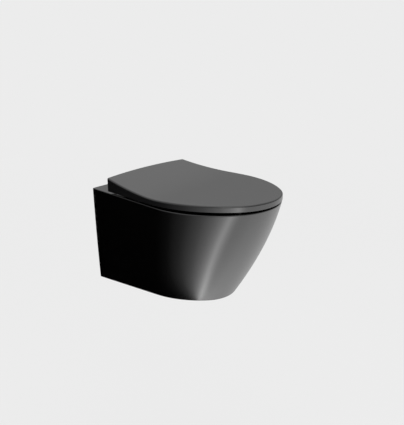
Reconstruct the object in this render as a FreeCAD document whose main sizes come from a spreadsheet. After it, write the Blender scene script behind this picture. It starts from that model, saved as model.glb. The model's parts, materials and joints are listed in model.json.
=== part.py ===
import FreeCAD, Part
import math
import os
import re
import Sketcher

# Wall hung toilet with a wrap-over seat and lid, in millimetres.
# X is across the pan, +Y points to the wall and +Z up. The origin lies on the wall plane,
# midway between the two wall fixings. An "at", "back", "front" or "reach" below is a
# distance from the wall, a "half" is half a width, and a "rise" is a height over the rim.

doc = FreeCAD.newDocument("WallHungToilet")
sheet = doc.addObject("Spreadsheet::Sheet", "Sizes")

SIZES = {
    # outside of the ceramic, at the rim, at half height and at the foot
    "rim_height": 80.0,
    "pan_height": 281.5,
    "rim_back": 145.6,
    "rim_half": 183.5,
    "rim_reach": 516.0,
    "rim_widest_at": 309.0,
    "belly_back": 141.2,
    "belly_half": 175.4,
    "belly_reach": 461.9,
    "belly_widest_at": 283.8,
    "foot_back": 134.2,
    "foot_half": 123.7,
    "foot_reach": 384.4,
    "foot_widest_at": 209.7,
    "blend_angle": 45.0,
    "skirt_wall": 11.0,
    "rim_plate": 11.0,
    "foot_plate": 11.0,
    "rear_wall_thick": 14.0,
    "rim_round": 3.0,
    "foot_round": 4.0,
    # bowl: the mouth in the rim, then sections from the water shelf down to the sump floor
    "mouth_half": 145.6,
    "mouth_back": 130.0,
    "mouth_front": 474.0,
    "channel_undercut": 6.0,
    "channel_wall": 5.0,
    "shelf_drop": 44.0,
    "shelf_thick": 9.0,
    "bowl_wall": 9.0,
    "shelf_half": 141.0,
    "shelf_back": 134.0,
    "shelf_front": 470.0,
    "slope_height": -20.0,
    "slope_half": 108.0,
    "slope_back": 180.0,
    "slope_front": 428.0,
    "water_half": 70.0,
    "water_back": 216.0,
    "water_front": 378.0,
    "dip_half": 45.0,
    "dip_back": 246.0,
    "dip_front": 338.0,
    "sump_floor_height": -182.0,
    "sump_half": 30.0,
    "sump_back": 256.0,
    "sump_front": 318.0,
    # trapway and outlet
    "trap_bore": 60.0,
    "trap_wall": 7.0,
    "bend_radius": 42.0,
    "rise_angle": 62.0,
    "crest_at": 130.0,
    "water_seal": 50.0,
    "outlet_drop": 100.0,
    "spigot_outside": 102.0,
    "spigot_bore": 86.0,
    "spigot_length": 46.0,
    "spigot_set_back": 2.0,
    "spigot_collar": 16.0,
    "outlet_room": 132.0,
    # flush inlet
    "inlet_rise": 35.0,
    "inlet_bore": 55.0,
    "inlet_wall": 5.0,
    "inlet_depth": 42.0,
    "flush_pipe": 45.0,
    "seal_length": 30.0,
    "nozzle_height": 48.0,
    "nozzle_bore": 22.0,
    "nozzle_wall": 6.0,
    # hidden wall fixing
    "fixing_spacing": 180.0,
    "stud_socket": 12.0,
    "stud_socket_depth": 40.0,
    "anchor_width": 36.0,
    "anchor_height": 26.0,
    "anchor_length": 106.0,
    "anchor_centre": 86.0,
    "sleeve_wall": 4.0,
    "sleeve_length": 24.0,
    "clamp_screw_size": 8.0,
    "clamp_screw_reach": 10.0,
    # seat posts in the deck
    "post_spacing": 155.0,
    "post_at": 86.0,
    "deck_hole": 16.0,
    "plug_flange": 22.0,
    "plug_flange_thick": 13.0,
    "post_base_size": 30.0,
    "post_base_thick": 3.5,
    "post_size": 12.0,
    "post_neck": 8.0,
    "post_neck_start": 11.7,
    "post_neck_length": 3.6,
    "post_head_length": 5.2,
    # hinge
    "hinge_at": 68.0,
    "hinge_rise": 28.0,
    "shaft_size": 8.0,
    "knuckle_size": 22.0,
    "bush_size": 17.0,
    "running_gap": 0.06,
    "side_gap": 1.0,
    "block_width": 26.0,
    "block_front": 96.0,
    "block_back": 77.0,
    "block_base_gap": 0.5,
    "block_top": 28.0,
    "arm_floor": 14.0,
    "post_bore_gap": 0.2,
    "seat_knuckle_end": 124.0,
    "lid_knuckle_end": 24.0,
    "knuckle_end_wall": 4.0,
    "bush_length": 14.0,
    # release catch
    "catch_width": 17.0,
    "catch_thick": 3.0,
    "catch_back": 76.5,
    "catch_travel": 2.0,
    "catch_gap": 0.3,
    "button_width": 12.0,
    "button_height": 7.0,
    "button_depth": 3.6,
    "catch_spring_size": 3.4,
    "catch_spring_bore": 2.0,
    "spring_pocket_back": 69.0,
    # lid
    "lid_back": 161.6,
    "lid_corner_at": 78.5,
    "lid_half": 186.5,
    "lid_reach": 520.0,
    "lid_widest_at": 280.0,
    "lid_bow": 10.2,
    "lid_gap": 6.3,
    "lid_edge": 16.7,
    "lid_rise": 22.5,
    "lid_rise_from": 294.9,
    "lid_wall": 4.5,
    "lid_round": 4.5,
    "lid_corner": 6.0,
    "hinge_window_half": 128.0,
    "lid_web": 12.0,
    # seat ring
    "seat_inset": 6.5,
    "seat_thick": 10.5,
    "seat_back_step": 21.5,
    "seat_back_inset": 4.6,
    "seat_round": 3.0,
    "seat_hole_half": 110.0,
    "seat_hole_back": 160.0,
    "seat_hole_front": 447.0,
    "seat_corner": 12.0,
    # pads
    "pad_gap": 0.3,
    "seat_pad_size": 16.0,
    "rear_pad_inset": 36.5,
    "rear_pad_behind": 290.0,
    "front_pad_across": 83.0,
    "front_pad_behind": 51.0,
    "lid_pad_size": 12.0,
    "lid_pad_inset": 42.5,
    "lid_pad_behind": 208.0,
    "lid_front_pad_across": 76.0,
    "lid_front_pad_behind": 65.0,
}

for row, (name, size) in enumerate(SIZES.items(), start=1):
    sheet.set("A%d" % row, name)
    sheet.set("B%d" % row, str(size))
    sheet.setAlias("B%d" % row, name)
doc.recompute()


def bound(text):
    """A formula on size names, as an expression on the sheet's cells."""
    return re.sub(r"[a-z][a-z_]*[a-z]", lambda word: ("Sizes." if word[0] in SIZES else "") + word[0], text)


def value(text):
    """What a formula gives now, as a plain number."""
    found = sheet.evalExpression(bound(text))
    return float(getattr(found, "Value", found))


def drive(thing, **formulas):
    """Bind an object's properties to formulas. x, y and z stand for its place."""
    for name, formula in formulas.items():
        path = "Placement.Base." + name if name in ("x", "y", "z") else name
        thing.setExpression(path, bound(formula))
    return thing


def add(kind, name, **formulas):
    """A new object of the document with its sizes bound to formulas."""
    return drive(doc.addObject(kind, name), **formulas)


# ---- sketches -------------------------------------------------------------------------------

X, Y, Z = FreeCAD.Vector(1, 0, 0), FreeCAD.Vector(0, 1, 0), FreeCAD.Vector(0, 0, 1)
LEVEL = FreeCAD.Rotation()
SIDE_VIEW = FreeCAD.Rotation(Y, Z, X)
BACK_VIEW = FreeCAD.Rotation(-X, Z, Y)
ORIGIN = (-1, 1)


def flat_sketch(name, turn=LEVEL, **place):
    """A sketch turned as asked, its place driven by formulas."""
    sketch = doc.addObject("Sketcher::SketchObject", name)
    sketch.Placement = FreeCAD.Placement(FreeCAD.Vector(), turn)
    return drive(sketch, **place)


def point(across, up):
    return FreeCAD.Vector(value(across), value(up), 0)


def fix(sketch, kind, where, formula):
    """Add one driving size to a sketch and bind it to its formula."""
    index = sketch.addConstraint(Sketcher.Constraint(kind, *where, value(formula)))
    sketch.setExpression("Constraints[%d]" % index, bound(formula))


def pin_point(sketch, piece, end, across, up):
    """Hold one point of a sketch at a place given by two formulas."""
    fix(sketch, "DistanceX", (*ORIGIN, piece, end), across)
    fix(sketch, "DistanceY", (*ORIGIN, piece, end), up)


def join(sketch, kind, one, one_end, other, other_end):
    sketch.addConstraint(Sketcher.Constraint(kind, one, one_end, other, other_end))


def circle(sketch, across, up, diameter):
    centre = point(across, up)
    piece = sketch.addGeometry(Part.Circle(centre, Z, value(diameter) / 2))
    pin_point(sketch, piece, 3, across, up)
    fix(sketch, "Diameter", (piece,), diameter)


def polygon(sketch, corners):
    """A closed outline of straight lines through corners given as pairs of formulas."""
    places = [point(*corner) for corner in corners]
    lines = [
        sketch.addGeometry(Part.LineSegment(here, there))
        for here, there in zip(places, places[1:] + places[:1])
    ]
    for line, following, corner in zip(lines, lines[1:] + lines[:1], corners):
        join(sketch, "Coincident", line, 2, following, 1)
        pin_point(sketch, line, 1, *corner)


def mirrored(spot):
    return FreeCAD.Vector(-spot.x, spot.y, 0)


def arc(centre, radius, start, finish):
    """An arc between two points, turning anticlockwise."""
    turn = [math.atan2(end.y - centre.y, end.x - centre.x) for end in (start, finish)]
    return Part.ArcOfCircle(Part.Circle(centre, Z, radius), *turn)


def blend(backwards=False):
    """The way the edge faces where a side arc meets an end arc, on the right."""
    turn = math.radians(value("blend_angle"))
    return FreeCAD.Vector(math.sin(turn), math.cos(turn) * (1 if backwards else -1), 0)


def arc_sizes(half, length):
    """Formulas for the side and end radius of a quarter oval, half wide and length long, whose two
    arcs meet where the edge has turned by the blend angle."""
    spread = "(cos(blend_angle * 1 deg) + sin(blend_angle * 1 deg) - 1)"
    excess = "(((%s) - (%s)) / %s)" % (length, half, spread)
    end = "(%s - %s*cos(blend_angle * 1 deg))" % (length, excess)
    return "(%s + %s)" % (end, excess), end


def oval(sketch, half, back, front, grow="0"):
    """Four arcs that meet smoothly, between two distances from the wall. grow widens it all round."""
    middle = "((%s + %s)/2)" % (back, front)
    side, end = arc_sizes(half, "((%s - %s)/2)" % (front, back))
    side, end = "(%s + %s)" % (side, grow), "(%s + %s)" % (end, grow)
    right = point("%s + %s - %s" % (half, grow, side), "-%s" % middle)
    left = mirrored(right)
    nose = point("0", "%s - %s - %s" % (end, front, grow))
    tail = point("0", "%s - %s - %s" % (grow, back, end))
    right_back = right + blend(backwards=True) * value(side)
    right_front = right + blend() * value(side)
    left_back, left_front = mirrored(right_back), mirrored(right_front)
    pieces = sketch.addGeometry([
        arc(right, value(side), right_front, right_back),
        arc(tail, value(end), right_back, left_back),
        arc(left, value(side), left_back, left_front),
        arc(nose, value(end), left_front, right_front),
    ])
    for piece, following in zip(pieces, pieces[1:] + pieces[:1]):
        join(sketch, "Tangent", piece, 2, following, 1)
    for piece, sign in ((pieces[0], ""), (pieces[2], "-")):
        pin_point(sketch, piece, 3, "%s(%s + %s - %s)" % (sign, half, grow, side), "-%s" % middle)
        fix(sketch, "Radius", (piece,), side)
    fix(sketch, "Radius", (pieces[1],), end)
    fix(sketch, "Radius", (pieces[3],), end)


def bell(sketch, back, back_at, half, reach, widest_at, inset="0", bow=None):
    """The pan's plan: a front arc, two side arcs, straight flanks and a straight or bowed back."""
    side, end = arc_sizes(half, "(%s - %s)" % (reach, widest_at))
    across = "(%s - %s)" % (half, side)
    side, end = "(%s - %s)" % (side, inset), "(%s - %s)" % (end, inset)
    back = "(%s - %s)" % (back, inset)
    right = point(across, "-%s" % widest_at)
    left = mirrored(right)
    nose = point("0", "%s + %s - %s" % (end, inset, reach))
    right_front = right + blend() * value(side)
    corner = point(back, "-(%s)" % back_at)
    spoke = corner - right
    turn = math.atan2(spoke.y, spoke.x) - math.acos(value(side) / spoke.Length)
    flank = right + FreeCAD.Vector(math.cos(turn), math.sin(turn), 0) * value(side)
    rear = Part.LineSegment(corner, mirrored(corner))
    if bow is not None:
        bow_radius = "((%s^2 + %s^2) / (2*%s))" % (back, bow, bow)
        centre = point("0", "%s - %s - (%s)" % (bow, bow_radius, back_at))
        rear = arc(centre, value(bow_radius), corner, mirrored(corner))
    pieces = sketch.addGeometry([
        arc(nose, value(end), mirrored(right_front), right_front),
        arc(right, value(side), right_front, flank),
        Part.LineSegment(flank, corner),
        rear,
        Part.LineSegment(mirrored(corner), mirrored(flank)),
        arc(left, value(side), mirrored(flank), mirrored(right_front)),
    ])
    kinds = ("Tangent", "Tangent", "Coincident", "Coincident", "Tangent", "Tangent")
    for kind, piece, following in zip(kinds, pieces, pieces[1:] + pieces[:1]):
        join(sketch, kind, piece, 2, following, 1)
    for piece, sign in ((pieces[1], ""), (pieces[5], "-")):
        pin_point(sketch, piece, 3, sign + across, "-%s" % widest_at)
        fix(sketch, "Radius", (piece,), side)
    fix(sketch, "Radius", (pieces[0],), end)
    pin_point(sketch, pieces[2], 2, back, "-(%s)" % back_at)
    pin_point(sketch, pieces[4], 1, "-%s" % back, "-(%s)" % back_at)
    if bow is not None:
        fix(sketch, "Radius", (pieces[3],), bow_radius)


# ---- solids ---------------------------------------------------------------------------------

SUB_PARTS = []


def sub_part(thing, label):
    """Give a finished piece its name and keep it for the step files."""
    thing.Label = label
    SUB_PARTS.append(thing)
    return thing


def loft(name, sections):
    skin = doc.addObject("Part::Loft", name)
    skin.Sections = sections
    skin.Solid = True
    skin.Ruled = False
    return skin


def prism(name, sketch, length, reverse=False, middle=False):
    """A sketch pushed out along its normal, or to both sides of its plane."""
    solid = doc.addObject("Part::Extrusion", name)
    solid.Base = sketch
    solid.DirMode = "Normal"
    solid.Solid = True
    solid.Reversed = reverse
    solid.Symmetric = middle
    return drive(solid, LengthFwd=length)


def cut(name, base, *tools):
    result = doc.addObject("Part::Cut", name)
    result.Base = base
    result.Tool = tools[0] if len(tools) == 1 else fuse(name + "_tools", *tools)
    return result


def fuse(name, *pieces):
    result = doc.addObject("Part::MultiFuse", name)
    result.Shapes = list(pieces)
    return result


def common(name, *pieces):
    result = doc.addObject("Part::MultiCommon", name)
    result.Shapes = list(pieces)
    return result


def rounded(name, base, chosen):
    """A solid with some edges rounded. chosen gives an edge's radius, or None to leave it sharp."""
    doc.recompute()
    result = doc.addObject("Part::Fillet", name)
    result.Base = base
    radii = [(number, chosen(edge.BoundBox)) for number, edge in enumerate(base.Shape.Edges, start=1)]
    result.Edges = [(number, value(radius), value(radius)) for number, radius in radii if radius]
    return result


def level_edge(box):
    return box.ZLength < 0.01


def rod(name, axis, diameter, length, x="0", y="0", z="0"):
    """A cylinder from a point along X, Y or Z."""
    turn = {"X": FreeCAD.Rotation(Z, X), "Y": FreeCAD.Rotation(Z, Y), "Z": LEVEL}[axis]
    solid = doc.addObject("Part::Cylinder", name)
    solid.Placement = FreeCAD.Placement(FreeCAD.Vector(), turn)
    return drive(solid, Radius="(%s)/2" % diameter, Height=length, x=x, y=y, z=z)


def block(name, low_x, high_x, low_y, high_y, low_z, high_z):
    sides = {"Length": (low_x, high_x), "Width": (low_y, high_y), "Height": (low_z, high_z)}
    spans = {side: "(%s) - (%s)" % (high, low) for side, (low, high) in sides.items()}
    return add("Part::Box", name, x=low_x, y=low_y, z=low_z, **spans)


def side_profile(name, corners, x, width):
    """A polygon drawn from the side, corners as (distance from the wall, height), made width thick."""
    sketch = flat_sketch(name + "_side", SIDE_VIEW, x=x)
    polygon(sketch, [("-(%s)" % at, height) for at, height in corners])
    return prism(name, sketch, width, middle=True)


# ---- ceramic: skirt, rim and foot -----------------------------------------------------------

PLAN = ("back", "half", "reach", "widest_at")


def level_size(name, height):
    """Formula for a plan size at any height: a parabola through its rim, belly and foot values."""
    down = "((rim_height - (%s)) / pan_height)" % height
    slope = "(4*belly_%s - 3*rim_%s - foot_%s)" % (name, name, name)
    bend = "(2*rim_%s - 4*belly_%s + 2*foot_%s)" % (name, name, name)
    return "(rim_%s + %s*%s + %s*%s^2)" % (name, slope, down, bend, down)


def skirt_loft(name, top, foot, inset="0", behind="0"):
    """The pan's outside, or the same set in by a wall, between two heights."""
    sections = []
    for step in range(4):
        level = "((%s)*%d + (%s)*%d)/3" % (top, 3 - step, foot, step)
        sketch = flat_sketch("%s_%d" % (name, step), z=level)
        back, half, reach, widest_at = [level_size(size, level) for size in PLAN]
        bell(sketch, back, "-(%s)" % behind, half, reach, widest_at, inset=inset)
        sections.append(sketch)
    return loft(name, sections)


WATER = "(sump_floor_height + trap_bore + water_seal)"
DIP = "(sump_floor_height + trap_bore)"
SHELF = "(rim_height - shelf_drop)"
DECK_UNDER = "(rim_height - rim_plate)"
FOOT = "(rim_height - pan_height)"
PAST = "20"
SPIGOT_FRONT = "(spigot_set_back + spigot_length)"
TRAP_LEVEL = "(sump_floor_height + trap_bore/2)"
TRAP_CREST = "(%s + trap_bore/2)" % WATER
TRAP_FORWARD = "sin(rise_angle * 1 deg)"
TRAP_UP = "cos(rise_angle * 1 deg)"
TRAP_CLIMB = "(%s - %s - 2*bend_radius*(1 - %s))" % (TRAP_CREST, TRAP_LEVEL, TRAP_UP)
TRAP_FOOT_AT = "(crest_at + bend_radius*%s + %s*%s/%s)" % (TRAP_FORWARD, TRAP_CLIMB, TRAP_UP, TRAP_FORWARD)
TRAP_FOOT_UP = "(%s + bend_radius*(1 - %s))" % (TRAP_LEVEL, TRAP_UP)


def oval_prism(name, half, back, front, low, high, grow="0"):
    sketch = flat_sketch(name + "_plan", z=low)
    oval(sketch, half, back, front, grow)
    return prism(name, sketch, "%s - (%s)" % (high, low))


def bowl_loft(name, top, grow="0", deeper="0"):
    """The bowl's inside from its shelf to the sump floor, or the same grown by its wall."""
    levels = [("shelf", top), ("slope", "slope_height"), ("water", WATER), ("dip", DIP)]
    levels.append(("sump", "sump_floor_height - (%s)" % deeper))
    sections = []
    for size, height in levels:
        sketch = flat_sketch("%s_%s" % (name, size), z=height)
        oval(sketch, size + "_half", size + "_back", size + "_front", grow)
        sections.append(sketch)
    return loft(name, sections)


def trap_path():
    """From the sump to the wall: level, up the rise, over the crest and down to the outlet."""
    sketch = flat_sketch("trap_path", SIDE_VIEW)
    turn_in, turn_out, sump, crest = TRAP_FORWARD, TRAP_UP, TRAP_LEVEL, TRAP_CREST
    foot_at = "(%s + bend_radius*%s)" % (TRAP_FOOT_AT, turn_in)
    drop = "(%s - bend_radius + outlet_drop - bend_radius)" % crest
    out_at = "(crest_at - sqrt(4*bend_radius^2 - %s^2))" % drop
    start = point("-(sump_back + sump_front)/2", sump)
    bottom = point("-" + foot_at, sump + " + bend_radius")
    top = point("-crest_at", crest + " - bend_radius")
    outlet = point("-" + out_at, "bend_radius - outlet_drop")
    radius = value("bend_radius")
    lean = FreeCAD.Vector(value(turn_in), -value(turn_out), 0) * radius
    bottom_start, bottom_end = bottom - Y * radius, bottom + lean
    top_start, top_end = top - lean, (top + outlet) * 0.5
    outlet_end = outlet - Y * radius
    finish = point("-%s" % SPIGOT_FRONT, "-outlet_drop")
    pieces = sketch.addGeometry([
        Part.LineSegment(start, bottom_start),
        arc(bottom, radius, bottom_start, bottom_end),
        Part.LineSegment(bottom_end, top_start),
        arc(top, radius, top_end, top_start),
        arc(outlet, radius, top_end, outlet_end),
        Part.LineSegment(outlet_end, finish),
    ])
    level_in, bottom_bend, rise, top_bend, out_bend, level_out = pieces
    join(sketch, "Tangent", level_in, 2, bottom_bend, 1)
    join(sketch, "Tangent", bottom_bend, 2, rise, 1)
    join(sketch, "Tangent", rise, 2, top_bend, 2)
    join(sketch, "Tangent", top_bend, 1, out_bend, 1)
    join(sketch, "Tangent", out_bend, 2, level_out, 1)
    sketch.addConstraint(Sketcher.Constraint("Horizontal", level_in))
    sketch.addConstraint(Sketcher.Constraint("Horizontal", level_out))
    pin_point(sketch, level_in, 1, "-(sump_back + sump_front)/2", sump)
    fix(sketch, "DistanceX", (*ORIGIN, bottom_bend, 3), "-" + foot_at)
    pin_point(sketch, top_bend, 3, "-crest_at", crest + " - bend_radius")
    pin_point(sketch, level_out, 2, "-%s" % SPIGOT_FRONT, "-outlet_drop")
    for bend in (bottom_bend, top_bend, out_bend):
        fix(sketch, "Radius", (bend,), "bend_radius")
    return sketch


def pipe(name, path, diameter):
    """A round pipe's solid along a path that starts level, at the sump."""
    ring = flat_sketch(name + "_ring", BACK_VIEW, y="-(sump_back + sump_front)/2")
    circle(ring, "0", "sump_floor_height + trap_bore/2", diameter)
    sweep = doc.addObject("Part::Sweep", name)
    sweep.Sections = [ring]
    sweep.Spine = (path, ["Edge%d" % (number + 1) for number in range(6)])
    sweep.Solid = True
    sweep.Frenet = False
    return sweep


# The outside of the whole pan, its hollow and the cavities that several pieces share.
skirt = rounded(
    "skirt", skirt_loft("skirt_sharp", "rim_height", FOOT),
    lambda box: None if box.YMin > -1 or not level_edge(box) else
    "rim_round" if box.ZMin > 0 else "foot_round",
)
hollow = skirt_loft("hollow", DECK_UNDER, FOOT + " + foot_plate", "skirt_wall", "5")
mouth = oval_prism("mouth", "mouth_half", "mouth_back", "mouth_front", DECK_UNDER, "rim_height + 5")
channel_outside = oval_prism(
    "channel_outside", "mouth_half", "mouth_back", "mouth_front",
    SHELF + " - shelf_thick", DECK_UNDER, "channel_undercut + channel_wall",
)
channel = oval_prism(
    "channel", "mouth_half", "mouth_back", "mouth_front", SHELF, DECK_UNDER + " + 5", "channel_undercut",
)
bowl_outside = bowl_loft("bowl_outside", SHELF + " - shelf_thick/2", "bowl_wall", "bowl_wall - 1")
bowl_inside = bowl_loft("bowl_inside", SHELF + " + 1")
bowl_block = fuse("bowl_block", bowl_outside, channel_outside)
path = trap_path()
trap_inside = pipe("trap_inside", path, "trap_bore")
trap_outside = pipe("trap_outside", path, "trap_bore + 2*trap_wall")
nozzle_hole = rod(
    "nozzle_hole", "Y", "nozzle_bore", "mouth_back + %s - inlet_depth" % PAST,
    y="-mouth_back - %s" % PAST, z="nozzle_height",
)

deck_holes = [
    rod("deck_hole_" + side, "Z", "deck_hole", "rim_plate + 10", x=sign + "post_spacing/2",
        y="-post_at", z=DECK_UNDER + " - 5")
    for side, sign in (("left", "-"), ("right", ""))
]
pan_shell = cut("pan_shell_raw", skirt, hollow, mouth, *deck_holes)
sub_part(pan_shell, "pan_shell")

bowl = cut("bowl_raw", bowl_block, bowl_inside, channel, trap_inside, nozzle_hole)
sub_part(bowl, "bowl")

# The trapway is made as three lengths that meet face to face: the low bend, the rise to the crest,
# and the fall to the outlet.
def along_joint(share, lower="0"):
    """A corner on the plane across the foot of the rise, or a bore's width times lower below it."""
    at = "%s + (%s)*trap_bore*%s + (%s)*trap_bore*%s" % (TRAP_FOOT_AT, share, TRAP_FORWARD, lower, TRAP_UP)
    up = "%s + (%s)*trap_bore*%s - (%s)*trap_bore*%s" % (TRAP_FOOT_UP, share, TRAP_UP, lower, TRAP_FORWARD)
    return at, up


trap_pipe = cut("trap_pipe", trap_outside, trap_inside, bowl_block)
trap_front, trap_back = [
    block("trap_" + name, "-trap_bore", "trap_bore", front, back, FOOT, "rim_height")
    for name, front, back in (("front", "-sump_front", "-crest_at"), ("back", "-crest_at", "0"))
]
trap_low = side_profile(
    "trap_low", [along_joint("-1"), along_joint("2"), along_joint("2", "2"), along_joint("-1", "2")],
    "0", "2*trap_bore",
)
trap_half = common("trap_half", trap_pipe, trap_front)
sub_part(common("trapway_bend_raw", trap_half, trap_low), "trapway_bend")
sub_part(cut("trapway_rise_raw", trap_half, trap_low), "trapway_rise")
sub_part(common("trapway_fall_raw", trap_pipe, trap_back), "trapway_fall")

spigot_back = rod("spigot_back", "Y", "spigot_outside", "spigot_length", y="-" + SPIGOT_FRONT,
                  z="-outlet_drop")
spigot_mouth = rod(
    "spigot_mouth", "Y", "spigot_bore", "spigot_length - spigot_collar",
    y="-spigot_set_back - spigot_length + spigot_collar", z="-outlet_drop",
)
spigot_taper = doc.addObject("Part::Cone", "spigot_taper")
spigot_taper.Placement = FreeCAD.Placement(FreeCAD.Vector(), FreeCAD.Rotation(Z, Y))
drive(
    spigot_taper, Radius1="trap_bore/2", Radius2="spigot_bore/2", Height="spigot_collar",
    y="-" + SPIGOT_FRONT, z="-outlet_drop",
)
sub_part(cut("outlet_spigot_raw", spigot_back, spigot_mouth, spigot_taper), "outlet_spigot")

horn = rod("horn", "Y", "inlet_bore + 2*inlet_wall", "inlet_depth + inlet_wall",
           y="-inlet_depth - inlet_wall", z="inlet_rise")
horn_bore = rod("horn_bore", "Y", "inlet_bore", "inlet_depth + 5", y="-inlet_depth", z="inlet_rise")
duct = rod("duct", "Y", "nozzle_bore + 2*nozzle_wall", "mouth_back - inlet_depth", y="-mouth_back",
           z="nozzle_height")
flush_duct = cut("flush_duct_raw", fuse("duct_outside", horn, duct), horn_bore, nozzle_hole, bowl_block)
sub_part(flush_duct, "flush_duct")

# ---- ceramic: rear wall with its windows ------------------------------------------------------

rear_slab = block("rear_slab", "-rim_half", "rim_half", "-rear_wall_thick", "0", FOOT, "rim_height")
outlet_window = rod("outlet_window", "Y", "outlet_room", "rear_wall_thick + 20", y="-rear_wall_thick - 10",
                    z="-outlet_drop")
horn_window = rod("horn_window", "Y", "inlet_bore + 2*inlet_wall", "rear_wall_thick + 20",
                  y="-rear_wall_thick - 10", z="inlet_rise")
windows = [outlet_window, horn_window]
for side, sign in (("left", "-1"), ("right", "1")):
    centre = "(%s*anchor_centre)" % sign
    wide = "(anchor_width/2 + sleeve_wall)"
    tall = "(anchor_height/2 + sleeve_wall)"
    windows.append(block(
        "anchor_window_" + side, centre + " - " + wide, centre + " + " + wide,
        "-rear_wall_thick - 10", "10", "-" + tall, tall,
    ))
sub_part(cut("rear_wall_raw", common("rear_fill", rear_slab, hollow), *windows), "rear_wall")

# ---- wall anchors, clamp screws and deck plugs --------------------------------------------------

for side, sign in (("left", "-1"), ("right", "1")):
    centre = "(%s*anchor_centre)" % sign
    post_x = "(%s*post_spacing/2)" % sign
    stud_x = "(%s*fixing_spacing/2)" % sign
    bar = block(
        "bar_" + side, centre + " - anchor_width/2", centre + " + anchor_width/2",
        "-anchor_length", "0", "-anchor_height/2", "anchor_height/2",
    )
    socket = rod("socket_" + side, "Y", "stud_socket", "stud_socket_depth + 5", x=stud_x,
                 y="-stud_socket_depth")
    thread = rod("thread_" + side, "Z", "clamp_screw_size", "anchor_height + 10", x=post_x, y="-post_at",
                 z="-anchor_height/2 - 5")
    sub_part(cut("anchor_bar_raw_" + side, bar, socket, thread), "anchor_bar_" + side)

    wide = "(anchor_width/2 + sleeve_wall)"
    tall = "(anchor_height/2 + sleeve_wall)"
    sleeve = block(
        "sleeve_" + side, centre + " - " + wide, centre + " + " + wide,
        "-sleeve_length", "0", "-" + tall, tall,
    )
    sleeve_bore = block(
        "sleeve_bore_" + side, centre + " - anchor_width/2", centre + " + anchor_width/2",
        "-sleeve_length - 5", "5", "-anchor_height/2", "anchor_height/2",
    )
    sub_part(cut("anchor_sleeve_raw_" + side, sleeve, sleeve_bore), "anchor_sleeve_" + side)

    plug_foot = DECK_UNDER + " - plug_flange_thick"
    screw = rod("screw_" + side, "Z", "clamp_screw_size", plug_foot + " + 2 + clamp_screw_reach", x=post_x,
                y="-post_at", z="-clamp_screw_reach")
    sub_part(screw, "clamp_screw_" + side)

    plug = fuse(
        "plug_" + side,
        rod("plug_neck_" + side, "Z", "deck_hole", "rim_plate", x=post_x, y="-post_at", z=DECK_UNDER),
        rod("plug_flange_" + side, "Z", "plug_flange", "plug_flange_thick", x=post_x, y="-post_at",
            z=plug_foot),
    )
    plug_bore = rod("plug_bore_" + side, "Z", "clamp_screw_size", "rim_plate + plug_flange_thick + 10",
                    x=post_x, y="-post_at", z=plug_foot + " - 5")
    sub_part(cut("deck_plug_raw_" + side, plug, plug_bore), "deck_plug_" + side)

# ---- inlet seal ---------------------------------------------------------------------------------

seal = rod("seal", "Y", "inlet_bore", "seal_length", y="-seal_length", z="inlet_rise")
seal_bore = rod("seal_bore", "Y", "flush_pipe", "seal_length + 10", y="-seal_length - 5", z="inlet_rise")
sub_part(cut("inlet_seal_raw", seal, seal_bore), "inlet_seal")

# ---- hinge posts, blocks and shafts -------------------------------------------------------------

AXIS_Y = "(-hinge_at)"
AXIS_Z = "(rim_height + hinge_rise)"
NECK_LOW = "(rim_height + post_base_thick + post_neck_start)"
CATCH_LOW = "(%s + (post_neck_length - catch_thick)/2)" % NECK_LOW
POST_TOP = "(%s + post_neck_length + post_head_length)" % NECK_LOW

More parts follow.
